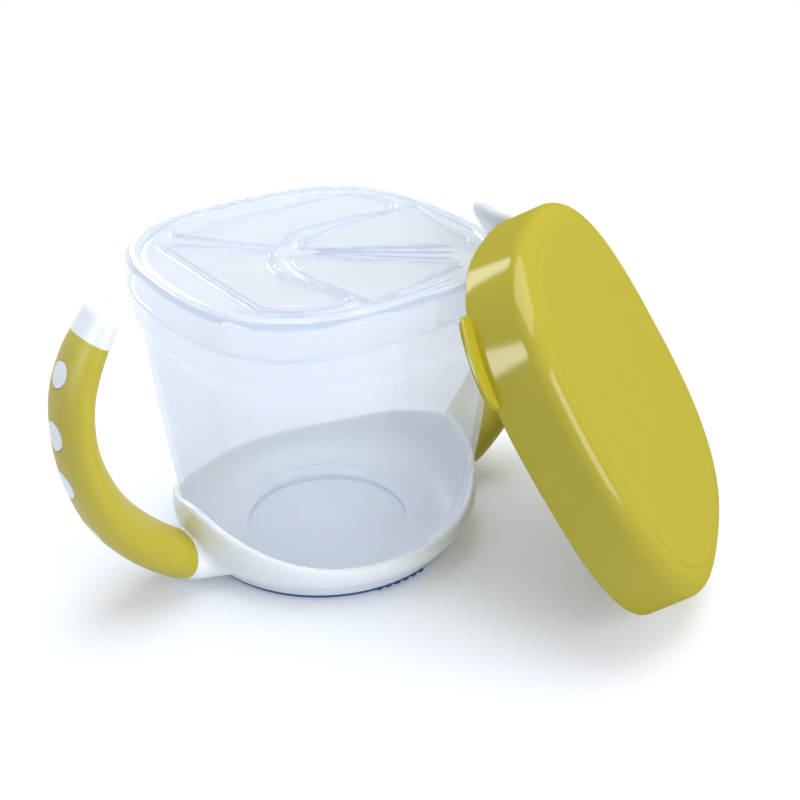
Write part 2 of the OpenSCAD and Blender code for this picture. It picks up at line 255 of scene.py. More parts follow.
# The mould's fine spark-eroded grain, 0.25 mm in the real part, is drawn at 0.6 mm.
grain = add(tree, "ShaderNodeTexNoise",
            {"Vector": place.outputs["Object"], "Scale": 1 / (0.6 * MM), "Detail": 2.0})
tone = add(tree, "ShaderNodeTexNoise",
           {"Vector": place.outputs["Object"], "Scale": 1 / (25 * MM), "Detail": 1.0})
shade = add(tree, "ShaderNodeMix",
            {"Factor": tone.outputs["Fac"], 6: linear("#ebeff2"), 7: linear("#f0f3f4")},
            data_type="RGBA")
satin = add(tree, "ShaderNodeBump", {"Height": grain.outputs["Fac"], "Strength": 0.06,
                                     "Distance": 0.05 * MM})
body = add(tree, "ShaderNodeBsdfPrincipled",
           {"Base Color": shade.outputs[2], "Normal": satin.outputs["Normal"],
            "Roughness": 0.36, "IOR": 1.49})
add(tree, "ShaderNodeOutputMaterial", {"Surface": body.outputs["BSDF"]})


def seat(angle, z):
    """Radius of the ring's inner face, which follows the cup."""
    return squared(look_up(wall_rows, z) + cup_fit, cup_n(z), angle)


def face(z):
    """Radius of the ring's outer face."""
    return look_up(wall_rows, z) + cup_fit + ring_t


def ring_section(angle):
    """The ring's cross-section at an angle, anticlockwise from the floor hole's lower edge.
    Its upper edge runs a little lower behind the handles."""
    behind = min(max((math.sin(angle) + 0.1) / 0.4, 0), 1)
    top = (ring_low + (ring_high - ring_low) * math.cos(angle) ** 4
           - back_drop * behind ** 2 * (3 - 2 * behind))
    half_up = upper_z + (top - upper_z) * 0.5
    rows = (top - 0.7, min(22, top - 1.0), min(14, top - 1.4), foot_z + 6.5, foot_z + 3.3,
            foot_z + 1)
    return turned([
        (floor_hole, pad_t, 0.3), (face(foot_z) + 2.3, pad_t, 1.6),
        (face(foot_z + 1.6) + 0.5, foot_z + 1.4, 3), (face(bulge_z) + ring_bulge, bulge_z, 6),
        (face(half_up) + ring_bulge * 0.8, half_up, 8), (face(top), top, 1.3),
        (seat(angle, top), top, 0.5)]
        + [(seat(angle, z), z, 0) for z in rows]
        + [(seat(angle, foot_z), foot_z - cup_fit, 0), (floor_hole, foot_z - cup_fit, 0.3)],
        closed=True)


angles = [2 * math.pi * i / ROUND for i in range(ROUND)]
sections = [ring_section(a) for a in angles]
ring = loft("base_ring_with_handles",
            [np.array([(s[k][0] * math.cos(a), s[k][0] * math.sin(a), s[k][1])
                       for a, s in zip(angles, sections)]) for k in range(len(sections[0]))],
            white, loop=True)


def bow(x, z, scale=1.0, wider=0.0, thicker=0.0):
    """A row of the handle's centre line, by shares of its reach and height, with the core's
    half width and half thickness there."""
    return (wall_half + (handle_reach - wall_half) * x, pad_t + (handle_top - pad_t) * z,
            core_w * scale + wider, core_t * scale + thicker)


# From the root in the ring's wall, out, up and back in to the tip.
spine = [bow(-0.143, 0.09, 1, 6.5, 1.6), bow(-0.038, 0.077, 1, 2.7, 0.6),
         bow(0.094, 0.084, 1, 0.5, 0.9), bow(0.308, 0.135, 1, 0.9, 1.2),
         bow(0.588, 0.236, 1, 1.5, 1.3), bow(0.81, 0.354, 1, 1.3, 1.1),
         bow(0.946, 0.492, 1, 0.6, 0.4), bow(1, 0.627, 0.97), bow(0.962, 0.774, 0.92),
         bow(0.822, 0.897, 0.84), bow(0.626, 1, 0.74)]
TIP = len(spine) - 1
sleeve_fit, grip_t = 0.2, 0.9
grip_out = sleeve_fit + grip_t
# The rows of the spine at which the grip starts and ends.
GRIP_FROM, GRIP_TO = 2.35, 9.45
# Points round an oval.
OVAL = 48


def oval(side, t, grow=0.0, push=0.0, scale=1.0):
    """The oval across a handle at row t; side is 1 or -1, push goes on past the tip."""
    x, z, half_w, half_t = smooth_row(spine, t)
    ahead = smooth_row(spine, min(t + 0.02, TIP))[:2] - smooth_row(spine, max(t - 0.02, 0))[:2]
    dx, dz = ahead / np.hypot(*ahead)
    a = np.arange(OVAL) * 2 * math.pi / OVAL
    out, across = (half_t + grow) * scale * np.cos(a), (half_w + grow) * scale * np.sin(a)
    ring = np.stack([side * (x + dx * push + dz * out), across, z + dz * push - dx * out], 1)
    return ring if side > 0 else ring[::-1]


def settle(piece):
    """Applies the piece's modifiers."""
    graph = bpy.context.evaluated_depsgraph_get()
    mesh = bpy.data.meshes.new_from_object(piece.evaluated_get(graph))
    piece.modifiers.clear()
    piece.data = mesh


def merged(piece, other, operation):
    """Cuts, joins or intersects piece with other, which goes away."""
    step = piece.modifiers.new("merge", "BOOLEAN")
    step.operation, step.solver, step.object = operation, "EXACT", other
    settle(piece)
    bpy.data.objects.remove(other)
    return piece


# The core swells to the grip's thickness at its two ends, just inside the grip's lips.
swell_rows = (0, GRIP_FROM + 0.08, GRIP_FROM + 0.25, GRIP_TO - 0.25, GRIP_TO - 0.08, TIP)
swell = (grip_out, grip_out, 0, 0, grip_out, grip_out)
core_rows = [(t, np.interp(t, swell_rows, swell)) for t in np.arange(0, TIP + 0.01, 0.1)]
# The round tip ends dome_reach past the last row. Each step there has its oval's scale.
dome_reach = 5.05
dome = [(s, math.sqrt(1 - (s / dome_reach) ** 2)) for s in (1.2, 2.3, 3.3, 4.1, 4.6, 4.9, 5.02)]
# How far the cup's room is cut over the seat, and the fineness of the moulding's skin.
room_over, skin_voxel = 0.05, 0.5
for side in (1, -1):
    core = loft("core", [oval(side, t, grow) for t, grow in core_rows]
                + [oval(side, TIP, grip_out, s, k) for s, k in dome], white)
    # The cup's room is cut out of the handle's root, a little over the ring's inner face.
    room = loft("room", [squared_ring(look_up(wall_rows, z) + cup_fit + room_over, cup_n(z), z)
                         for z in [foot_z - 1] + [z for z, _ in wall_rows[:7]]], white)
    merged(core, room, "DIFFERENCE")
    moulding = bmesh.new()
    for part in (ring, core):
        moulding.from_mesh(part.data)
    moulding.to_mesh(ring.data)
    bpy.data.objects.remove(core)
# One skin over the ring and both cores, smoothed so that the roots run into the ring.
blend = ring.modifiers.new("one moulding", "REMESH")
blend.mode, blend.voxel_size, blend.use_smooth_shade = "VOXEL", skin_voxel * MM, True
soften = ring.modifiers.new("soft roots", "SMOOTH")
soften.factor, soften.iterations = 0.5, 8
settle(ring)
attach(ring, "base")
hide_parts("handle_ring")


# ---- Soft grips ----
# Lime thermoplastic elastomer sleeves, moulded over the handle cores. Four round studs
# of the white core come flush through the outside of each. The rubber is matt, with a
# faint bloom at grazing angles.
proud = 0.1
# Row of the spine and radius of each stud. Over the spine, the hole for it in the grip
# starts at hole_from, the stud at stud_from, and both go on past the skin to stud_to.
STUDS = ((4.9, 4.1), (6.15, 4.0), (7.3, 3.9), (8.55, 3.4))
hole_from, stud_from, stud_to = 0.5, 2.5, 12
lime_rubber, tree = material_of("soft_touch_elastomer")
place = add(tree, "ShaderNodeTexCoord")
grain = add(tree, "ShaderNodeTexNoise",
            {"Vector": place.outputs["Object"], "Scale": 1 / (0.5 * MM), "Detail": 3.0})
tone = add(tree, "ShaderNodeTexNoise",
           {"Vector": place.outputs["Object"], "Scale": 1 / (18 * MM), "Detail": 1.0})
shade = add(tree, "ShaderNodeMix",
            {"Factor": tone.outputs["Fac"], 6: linear("#baac28"), 7: linear("#beb12e")},
            data_type="RGBA")
matt = add(tree, "ShaderNodeBump", {"Height": grain.outputs["Fac"], "Strength": 0.1,
                                    "Distance": 0.06 * MM})
body = add(tree, "ShaderNodeBsdfPrincipled",
           {"Base Color": shade.outputs[2], "Normal": matt.outputs["Normal"],
            "Roughness": 0.48, "IOR": 1.5, "Sheen Weight": 0.06, "Sheen Roughness": 0.5})
add(tree, "ShaderNodeOutputMaterial", {"Surface": body.outputs["BSDF"]})


def stud_cylinder(name, side, t, radius, low, high):
    """A round bar square to the handle's outside at row t, from low to high over its line."""
    x, z = smooth_row(spine, t)[:2]
    dx, dz = smooth_row(spine, t + 0.02)[:2] - smooth_row(spine, t - 0.02)[:2]
    out = Vector((side * dz, 0, -dx)).normalized()
    turn = out.to_track_quat("Z", "Y").to_matrix()
    rings = []
    for h, r in ((low, radius), (high, radius)):
        circle = [turn @ Vector((r * math.cos(a), r * math.sin(a), h)) for a in
                  (2 * math.pi * i / 64 for i in range(64))]
        rings.append(np.array([(side * x + p.x, p.y, z + p.z) for p in circle]))
    return loft(name, rings, white)


def crisp(piece, degrees):
    """Shades every edge that is sharper than this as an edge."""
    split = piece.modifiers.new("edges", "EDGE_SPLIT")
    split.split_angle = math.radians(degrees)


for side, name in ((1, "right"), (-1, "left")):
    rows = [GRIP_FROM + (GRIP_TO - GRIP_FROM) * i / 40 for i in range(41)]
    outside = [oval(side, t, grip_out + proud) for t in rows[1:-1]]
    inside = [oval(side, t, sleeve_fit) for t in rows[-2:0:-1]]
    lips = [[oval(side, rows[e], g) for g in (sleeve_fit, grip_out - 0.3, grip_out)]
            for e in (0, -1)]
    grip = loft("soft_grip_" + name, lips[0] + outside + lips[1][::-1] + inside,
                lime_rubber, loop=True)
    studs = loft("studs_" + name, [oval(side, t, grip_out + 2 * proud) for t in rows], white)
    bars = None
    for t, stud_r in STUDS:
        hole = stud_cylinder("hole", side, t, stud_r + sleeve_fit, hole_from, stud_to)
        merged(grip, hole, "DIFFERENCE")
        bar = stud_cylinder("bar", side, t, stud_r, stud_from, stud_to)
        bars = merged(bars, bar, "UNION") if bars else bar
    merged(studs, bars, "INTERSECT")
    for piece, node, slot in ((grip, "grip_" + name, "lime_grip"), (studs, None, "white")):
        piece.data.shade_smooth()
        crisp(piece, 38)
        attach(piece, "base")
        if node:
            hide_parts(node)


# ---- Anti-slip pad ----
# Dark blue elastomer ring moulded into the underside of the white ring, which it keys into
# with six teeth along its front. The rubber is matt, so its rim shows as a thin dark line
# on the table without a highlight.
pad_r = face(foot_z) + 1.9
pad_sunk = 0.1
# The teeth start at this angle and follow each other by this step, both in degrees. A
# tooth's section is given from the pad's edge outwards, and its height from the table.
TEETH, first_tooth, tooth_step, tooth_half = 6, -101, 4.2, 0.6
tooth_section = ((-1, 0.4), (0.5, 0.6), (0.9, 1), (0.9, 1.6), (-1, 1.6))
blue_rubber, tree = material_of("anti_slip_elastomer")
place = add(tree, "ShaderNodeTexCoord")
grain = add(tree, "ShaderNodeTexNoise",
            {"Vector": place.outputs["Object"], "Scale": 1 / (0.6 * MM), "Detail": 3.0})
shade = add(tree, "ShaderNodeMix",
            {"Factor": grain.outputs["Fac"], 6: linear("#125793"), 7: linear("#1760a0")},
            data_type="RGBA")
matt = add(tree, "ShaderNodeBump", {"Height": grain.outputs["Fac"], "Strength": 0.15,
                                    "Distance": 0.08 * MM})
body = add(tree, "ShaderNodeBsdfPrincipled",
           {"Base Color": shade.outputs[2], "Normal": matt.outputs["Normal"],
            "Roughness": 0.55, "IOR": 1.5})
add(tree, "ShaderNodeOutputMaterial", {"Surface": body.outputs["BSDF"]})
pad_top = pad_t + pad_sunk
pad_section = turned([(floor_hole, 0, 0.3), (pad_r - 0.6, 0, 0.4), (pad_r, pad_top, 0.2),
                      (floor_hole, pad_top, 0.3)], closed=True)
pad = loft("anti_slip_ring", [np.array([(r * math.cos(a), r * math.sin(a), z) for a in angles])
                              for r, z in pad_section], blue_rubber, loop=True)
for i in range(TEETH):
    turn = Matrix.Rotation(math.radians(first_tooth + tooth_step * i), 3, "Z")
    sides = [np.array([turn @ Vector((pad_r + x, y, z)) for x, z in tooth_section])
             for y in (-tooth_half, tooth_half)]
    tooth = loft("tooth", sides, blue_rubber)
    merged(pad, tooth, "UNION")
even(pad)
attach(pad, "base")
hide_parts("base_pad")


# ---- Snack insert ----
# Flexible clear polypropylene, injection moulded, that snaps over the collar: a rounded
# skirt and a thin dished web with four flap openings. Beads along the openings and three
# ribs along the wide arm catch the light as thin lines; their flanks, the rim's shoulder and
# its lip carry painted shade, a darker blue-grey copy of the plastic.
insert_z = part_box("insert_frame")[1].z / MM
insert_fit, skirt_t, top_t = 0.3, 1.55, 1.1
skirt_in = rim_half + insert_fit
insert_half = skirt_in + skirt_t
web_drop, web_t, slit = 2.2, 0.9, 0.5
web_edge = mouth_half - 1.1
# How far the web lies under the rim's top, at the mouth and at the web's own edge.
web_sunk, edge_sunk = 0.6, 0.66
# Height and width of the beads round the openings, and how far the edge itself drops.
bead_h, bead_w, edge_drop = 0.45, 1.3, 0.12
# The ribs start rib_from out from the middle, run for rib_run and spread from rib_gap by
# rib_spread. The finger notches lie notch_in inside the web's edge, over these degrees.
rib_from, rib_run, rib_gap, rib_spread, rib_h = 1, 36.5, 1.5, 2.9, 0.7
notch_in, notch_depth, notch_arcs = 1.1, 0.55, ((-148, -138), (-133, -108), (-98, -65))
# Half the width of a rib or a notch.
ridge_w = 0.6
insert_plastic = clarified_polypropylene("flexible_clear_polypropylene", "#f3f7fc", "#fafcfe",
                                         clearness=0.8, thinness=0.78, milk=0.2, wave=8)
# A darker blue-grey copy of the same plastic that lets less light through: painted shade,
# so that steep flanks show as blue-grey lines.
painted_shade_plastic = clarified_polypropylene("clear_polypropylene_painted_shade", "#b6c8e0", "#c8d6e8",
                                       clearness=0.8, thinness=0.4, milk=0.14, wave=8)


def dish_z(points):
    """Height of the dished web's top at plan points."""
    radius = np.hypot(points[:, 0], points[:, 1])
    angle = np.arctan2(points[:, 1], points[:, 0])
    share = radius / squared(mouth_half, mouth_n, angle)
    return insert_z - web_sunk - web_drop * (1 - share)


def uv(u, v):
    """A plan point from the diagonal frame; u goes towards the front right corner."""
    return ((u + v) / math.sqrt(2), (v - u) / math.sqrt(2))


def soft_outline(corners, long_edge=9, corner_reach=2.2, spacing=0.9):
    """Corners to a smooth anticlockwise plan outline with points at this spacing. A long
    edge stays straight up to corner_reach from its ends."""
    points = np.array([uv(*c) for c in corners])
    split = []
    for a, b in zip(points, np.roll(points, -1, 0)):
        gap = np.hypot(*(b - a))
        split.append(a)
        if gap > long_edge:
            split += [a + (b - a) * corner_reach / gap, b - (b - a) * corner_reach / gap]
    for _ in range(3):
        ahead = np.roll(split, -1, 0)
        split = np.stack([0.75 * np.array(split) + 0.25 * ahead,
                          0.25 * np.array(split) + 0.75 * ahead], 1).reshape(-1, 2)
    steps = []
    for a, b in zip(split, np.roll(split, -1, 0)):
        parts = max(1, round(np.hypot(*(b - a)) / spacing))
        steps += [a + (b - a) * k / parts for k in range(parts)]
    area = sum(a[0] * b[1] - b[0] * a[1] for a, b in zip(steps, steps[1:] + steps[:1]))
    return np.array(steps if area > 0 else steps[::-1])


def offset(outline, distance):
    """The outline moved outwards by distance."""
    along = np.roll(outline, -1, 0) - np.roll(outline, 1, 0)
    along /= np.hypot(along[:, 0], along[:, 1])[:, None]
    return outline + np.stack([along[:, 1], -along[:, 0]], 1) * distance


def bead(distance, height, width):
    """Height of a rounded bead beside an edge, with the edge itself a little lower."""
    t = np.clip(distance / width, 0, 1)
    return height * np.sin(math.pi * t) ** 2 * (t < 1) - edge_drop * np.clip(1 - t * 5, 0, 1)


def to_segments(points, loops, closed=True):
    """Distance from each point to the nearest stretch of any loop."""
    nearest = np.full(len(points), 1e9)
    for loop in loops:
        ends = np.roll(loop, -1, 0) if closed else loop[1:]
        for a, b in zip(loop, ends):
            d = b - a
            t = np.clip(((points - a) @ d) / max(d @ d, 1e-12), 0, 1)
            nearest = np.minimum(nearest, np.hypot(*(points - a - t[:, None] * d).T))
    return nearest


def ridge(points, lines, height):
    """Height of rounded ridges along open lines; a negative height makes grooves."""
    near = np.clip(to_segments(points, lines, closed=False) / ridge_w, 0, 1)
    return height * np.cos(near * math.pi / 2) ** 2


def inside_loop(points, loop):
    """Which points lie inside the loop."""
    hits = np.zeros(len(points), bool)
    for a, b in zip(loop, np.roll(loop, -1, 0)):
        if a[1] == b[1]:
            continue
        crosses = (a[1] > points[:, 1]) != (b[1] > points[:, 1])
        x = a[0] + (points[:, 1] - a[1]) / (b[1] - a[1]) * (b[0] - a[0])
        hits ^= crosses & (points[:, 0] < x)
    return hits


# Which faces get the painted shade, by the z of a face's normal: a bead's flank in the
# web, and the shoulder and the lip in the rim, which takes in the last edge_strip of the web.
steepest_flank, flattest_flank, edge_strip = 0.2, math.cos(math.radians(26)), 0.6
shoulder_from, shoulder_to, lip_below = 0.45, 0.75, -0.3


def paint_bend_shade(piece):
    """Paints shade on the flanks of the beads, the rim's shoulder and its lip, by giving them
    the darker copy of the plastic.
    """
    piece.data.materials.append(painted_shade_plastic)
    for facet in piece.data.polygons:
        x, y, up = facet.center.x / MM, facet.center.y / MM, facet.normal.z
        if math.hypot(x, y) < squared(web_edge - edge_strip, mouth_n, math.atan2(y, x)):
            gets_painted_shade = steepest_flank < abs(up) < flattest_flank
        else:
            gets_painted_shade = shoulder_from < up < shoulder_to or up < lip_below
        if gets_painted_shade:
            facet.material_index = 1


def plate(edges, rows, grid, extra=(), too_near=0.12):
    """Triangles over the area between plan loops: edges[0] outside, the rest are holes.
    rows are the distances from the edges at which more points lie, and points too near an
    edge are left out. Returns the plan points, the triangles and the loops' indices."""
    points, loops = [], []
    for loop in edges:
        loops.append(list(range(sum(map(len, points)), sum(map(len, points)) + len(loop))))
        points.append(loop)
    for i, loop in enumerate(edges):
        for row in rows:
            points.append(offset(loop, -row if i == 0 else row))
    points += list(extra)
    low, high = edges[0].min(0), edges[0].max(0)
    xs, ys = np.meshgrid(np.arange(low[0], high[0], grid), np.arange(low[1], high[1], grid))
    lattice = np.stack([xs.ravel(), ys.ravel()], 1)
    far = to_segments(lattice, edges) > max(rows) + 0.6 * grid
    points.append(lattice[far])
    fixed = sum(map(len, edges))
    cloud = np.concatenate(points)
    keep = inside_loop(cloud, edges[0])
    for hole in edges[1:]:
        keep &= ~inside_loop(cloud, hole)
    keep &= to_segments(cloud, edges) > too_near
    keep[:fixed] = True
    cloud = cloud[keep]
    sides = [(loop[i], loop[(i + 1) % len(loop)]) for loop in loops for i in range(len(loop))]
    flat, _, faces, origin, _, _ = geometry.delaunay_2d_cdt(
        [Vector(p) for p in cloud], sides, [], 4, 1e-5)
    flat = np.array([tuple(p) for p in flat])
    place = {old: new for new, olds in enumerate(origin) for old in olds}
    return flat, [tuple(f) for f in faces], [[place[i] for i in loop] for loop in loops]


def sheet_solid(flat, triangles, loops, top, bottom, open_loops=()):
    """A solid between two heights over the same plan, with side walls at its edges."""
    count = len(flat)
    points = np.concatenate([np.column_stack([flat, top]), np.column_stack([flat, bottom])])
    faces = list(triangles) + [tuple(i + count for i in f[::-1]) for f in triangles]
    for k, loop in enumerate(loops):
        if k in open_loops:
            continue
        turn = loop if k == 0 else loop[::-1]
        ring = list(zip(turn, turn[1:] + turn[:1]))
        faces += [(a, a + count, b + count, b) for a, b in ring] if k else [
            (b, a, a + count, b + count) for a, b in ring]
    return points, faces


# The two flap outlines in the diagonal frame. Each starts with the ends of its hinge edge;
# the other two flaps are their mirror images.
flap_large = [(-3, 41.4), (-39.9, 4.5), (-34, 3), (-25, 2.2), (-14, 2), (-11.2, 2.6),
              (-9.9, 4.6), (-9.7, 8), (-9.2, 11.6), (-6.8, 15.6), (-3.1, 19.2),
              (0.8, 22.2), (4.8, 24.9), (9, 27.6), (13.2, 30.1), (16, 31.9),
              (16.4, 33.9), (12.7, 38.1), (7.2, 41.2), (1.7, 42.1)]
flap_small = [(39.4, 8.6), (21.2, 34.3), (14.6, 28.7), (9, 24.3), (3.7, 19.5),
              (0.3, 15.8), (-2.3, 11.9), (-4.4, 8), (-4.9, 5.2), (-4.2, 3.4),
              (-2.4, 2.7), (0.5, 2.9), (13, 4.4), (26, 5.9), (37.6, 7.2), (39, 7.8)]
flap_outlines = {"flap_back": soft_outline(flap_large), "flap_right": soft_outline(flap_small),
                 "flap_left": soft_outline([(u, -v) for u, v in flap_large]),
                 "flap_front": soft_outline([(u, -v) for u, v in flap_small])}
holes = [offset(o, slit) for o in flap_outlines.values()]
web_rim = squared_ring(web_edge, mouth_n, 0)[:, :2]
ribs = [np.array([uv(rib_from + rib_run * t, v * (rib_gap + rib_spread * t))
                  for t in np.linspace(0, 1, 60)]) for v in (-1, 0, 1)]
notch_at = [np.radians(np.arange(a, b, 1.2)) for a, b in notch_arcs]
notches = [np.stack([squared(web_edge - notch_in, mouth_n, a) * np.cos(a),
                     squared(web_edge - notch_in, mouth_n, a) * np.sin(a)], 1) for a in notch_at]
rib_rows = [offset(r, d)[1:-1] for r in ribs + notches for d in (-0.55, -0.28, 0, 0.28, 0.55)]
flat, triangles, loops = plate([web_rim] + holes, (0.25, 0.5, 0.75, 1.0, 1.3), 1.6, rib_rows)
top = dish_z(flat) + bead(to_segments(flat, holes), bead_h, bead_w)
top += ridge(flat, ribs, rib_h)
top += ridge(flat, notches, -notch_depth)
edge_z = insert_z - edge_sunk
top[loops[0]] = edge_z
web_points, web_faces = sheet_solid(flat, triangles, loops, top, dish_z(flat) - web_t, (0,))
web_points[[i + len(flat) for i in loops[0]], 2] = edge_z - web_t
# The rim, from the web's top outwards, over the shoulder, down the skirt and back inside.
rim_outline = turned([
    (web_edge, edge_z, 0), (insert_half - 4.3, insert_z - 0.1, 1),
    (insert_half - 1.6, insert_z + 0.05, 2.2), (insert_half - 0.1, insert_z - 2.2, 2.2),
    (insert_half, insert_z - 4.5, 2), (insert_half, collar_z + 0.3, 0.5),
    (skirt_in, collar_z + 0.3, 0.4), (skirt_in, insert_z - top_t, 0.2),
    (mouth_half - 0.3, insert_z - top_t, 0.2), (mouth_half - 0.3, insert_z - 0.8 - top_t, 0.3),
    (web_edge, edge_z - web_t, 0)])
rim_rings = [squared_ring(a, mouth_n, z) for a, z in rim_outline]
shift = len(rim_rings) * ROUND
insert = make("snack_insert", np.concatenate(rim_rings + [web_points]),
              [f[::-1] for f in skin(len(rim_rings), ROUND)]
              + [tuple(i + shift for i in f) for f in web_faces], insert_plastic)
weld = insert.modifiers.new("weld", "WELD")
weld.merge_threshold = 0.01 * MM
settle(insert)
# Painted shade: the bead flanks, the rim's shoulder and its lip get the darker plastic.
paint_bend_shade(insert)
crisp(insert, 50)
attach(insert, "insert")
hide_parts("insert_frame")


# ---- Four flaps ----
# The insert's four flaps, moulded with it in the same plastic. They bend at thin living
# hinges, so that a small hand pushes in and the snacks stay inside. Each has its own low
# raised border.
border_h, border_w = 0.3, 1.1
for name, outline in flap_outlines.items():
    flat, triangles, loops = plate([outline], (0.25, 0.5, 0.8, 1.1), 3.0)
    top = dish_z(flat) + bead(to_segments(flat, [outline]), border_h, border_w)
    points, faces = sheet_solid(flat, triangles, loops, top, dish_z(flat) - web_t)
    flap = make(name + "_clear", points, faces, insert_plastic)
    # The flap's border flanks get the same painted shade.
    paint_bend_shade(flap)
    crisp(flap, 50)
    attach(flap, name)
    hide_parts(name)


# ---- Storage lid ----
# Glossy lime polypropylene lid, moulded with a rounded shoulder, a faint step inside its
# edge, a gate mark in the middle and a thumb tab at one corner. Its polished skin shows
# lamps and windows as bright patches and streaks. It leans on the insert.
lid_half, lid_h, lid_n, lid_t = 53.0, 16.6, 2.72, 1.8
lid_in = lid_half - lid_t
# The side wall leans in by lid_draft. The top's rings are round in the middle and take the
# lid's own outline by outline_from.
lid_round, lid_crown, lid_draft, outline_from = 4.8, 0.9, 0.6, 20
lid_top = lid_h + lid_crown
step_at = lid_half - 1.5 - lid_round
# How the lid leans: its two turns, how far inside the insert's corner it comes, how far
# over the rim, and in which direction from the cup's middle.
lid_roll, lid_z_turn = math.radians(3.7), math.radians(37.5)
lean_in, lean_gap, lean_side = 5.2, 0.6, math.radians(-40.8)
gloss, tree = material_of("glossy_moulded_polypropylene")
place = add(tree, "ShaderNodeTexCoord")
flow = add(tree, "ShaderNodeTexNoise",
           {"Vector": place.outputs["Object"], "Scale": 1 / (9 * MM), "Detail": 2.0})
shade = add(tree, "ShaderNodeMix",
            {"Factor": flow.outputs["Fac"], 6: linear("#a69a24"), 7: linear("#aa9e28")},
            data_type="RGBA")
peel = add(tree, "ShaderNodeBump", {"Height": flow.outputs["Fac"], "Strength": 0.1,
                                    "Distance": 0.15 * MM})
body = add(tree, "ShaderNodeBsdfPrincipled",
           {"Base Color": shade.outputs[2], "Normal": peel.outputs["Normal"],
            "Roughness": 0.3, "IOR": 1.49, "Specular IOR Level": 0.0})
# The gloss is the same share of the light at every angle.
gloss_share = 0.035
shine = add(tree, "ShaderNodeBsdfGlossy", {"Color": (1, 1, 1, 1), "Roughness": 0.12})
surface = add(tree, "ShaderNodeMixShader", {0: gloss_share, 1: body.outputs["BSDF"],
                                            2: shine.outputs["BSDF"]})
add(tree, "ShaderNodeOutputMaterial", {"Surface": surface.outputs[0]})


def shoulder(radius, inset, height):
    """A quarter round at the lid's edge that ends at this height."""
    return [(lid_half - inset - radius * (1 - math.cos(b)),
             height - radius * (1 - math.sin(b))) for b in np.linspace(0, math.pi / 2, 9)]


# From the middle of the hollow's roof out and down to the edge, then up over the shoulder
# and the step to the gate mark in the middle of the top.
crown = [(0.3, 1), (0.65, 0.6)]
lid_outline = (
    [(0.4, lid_top - lid_t)]
    + [(lid_half * a, lid_h + lid_crown * z - lid_t) for a, z in crown]
    + shoulder(lid_round - lid_t, lid_draft + lid_t, lid_h - lid_t)[::-1]
    + turned([(lid_in - 0.1, 3, 0), (lid_in, 0, 0.5), (lid_half, 0, 0.5), (lid_half - 0.1, 3, 0)])
    + shoulder(lid_round, lid_draft, lid_h)
    + turned([(step_at + 0.3, lid_h, 0), (step_at, lid_h, 0.3),
              (step_at - 0.5, lid_h + 0.3, 0.3), (step_at - 2, lid_h + 0.35, 0)])
    + [(lid_half * a, lid_h + lid_crown * z) for a, z in crown[::-1]]
    + turned([(2.8, lid_top, 0), (2.0, lid_top - 0.2, 0.3), (1.1, lid_top - 0.2, 0.3),
              (0.8, lid_top, 0.1), (0.4, lid_top, 0)]))
lid_rings = [squared_ring(a, 2 + (lid_n - 2) * min(a / outline_from, 1), z)
             for a, z in lid_outline]
lid = even(loft("lid_shell", lid_rings, gloss))


def stand(tilt):
    """Height of the tilted lid's centre when its low side stands on the table."""
    power = lid_n / (lid_n - 1)
    return lid_half * (abs(math.sin(lid_roll)) ** power
                       + abs(math.cos(lid_roll) * math.sin(tilt)) ** power) ** (1 / power)


# The flattest tilt at which the lid's upper edge still clears the insert's rim.
low, high = math.radians(30), math.radians(80)
for _ in range(20):
    tilt = (low + high) / 2
    clears = stand(tilt) + lid_in * math.cos(lid_roll) * math.sin(tilt) > insert_z + lean_gap
    low, high = (low, tilt) if clears else (tilt, high)
turn = (Matrix.Rotation(lid_z_turn, 3, "Z") @ Matrix.Rotation(lid_roll, 3, "Y")
        @ Matrix.Rotation(tilt, 3, "X"))
lean_r = squared(insert_half, mouth_n, math.pi / 4) - lean_in
lid_at = Vector((lean_r * math.cos(lean_side), lean_r * math.sin(lean_side), 0))
lid_at -= turn.col[1] * lid_in
lid_at.z = stand(tilt)
# The tab stands out from the lid's edge over a short arc, and its back lies in the wall.
tab_reach, tab_t = 5.0, 1.3
tab_mid, tab_spread = math.radians(143), math.radians(11.7)
arc = np.sin(np.linspace(-1, 1, 61) * math.pi / 2)
edge_at = tab_mid + tab_spread * arc
edge_r = squared(lid_half, lid_n, edge_at)
around = np.concatenate([edge_at, edge_at[::-1]])
tab_rows = []
for height, inset in ((0, 0.25), (0.2, 0.05), (0.4, 0), (tab_t - 0.4, 0), (tab_t - 0.2, 0.05),
                      (tab_t, 0.25)):
    front = edge_r - 0.05 + (tab_reach - inset) * np.sqrt(1 - arc ** 6)
    far = np.concatenate([front, edge_r[::-1] - lid_t / 2])
    tab_rows.append(np.stack([far * np.cos(around), far * np.sin(around),
                              np.full(len(around), height)], 1))
tab = loft("lid_tab", tab_rows, gloss)
crisp(tab, 50)
for piece in (lid, tab):
    piece.data.transform(Matrix.Translation(lid_at * MM) @ turn.to_4x4())
    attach(piece, "lid")
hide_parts("storage_lid")


# ---- Table, light and camera ----
# A white studio sweep of matt paper under two soft boxes, seen from the front left and a
# little above. The paper keeps a soft shadow near the cup and fades to plain white beyond.
floor_half = 3000
paper_glow = 0.15
# The plain white fades in between these distances from the middle.
fade_from, fade_to = 80 * MM, 160 * MM


def seen(tree):
    """The Light Path node, and 1 for each ray that shows the white background."""
    ray = add(tree, "ShaderNodeLightPath")
    sight = ray.outputs["Is Camera Ray"]
    for kind in ("Is Glossy Ray", "Is Transmission Ray"):
        sight = add(tree, "ShaderNodeMath", {0: sight, 1: ray.outputs[kind]},
                    operation="MAXIMUM").outputs[0]
    return ray, sight


sweep, tree = material_of("white_paper_sweep")
ray, sight = seen(tree)
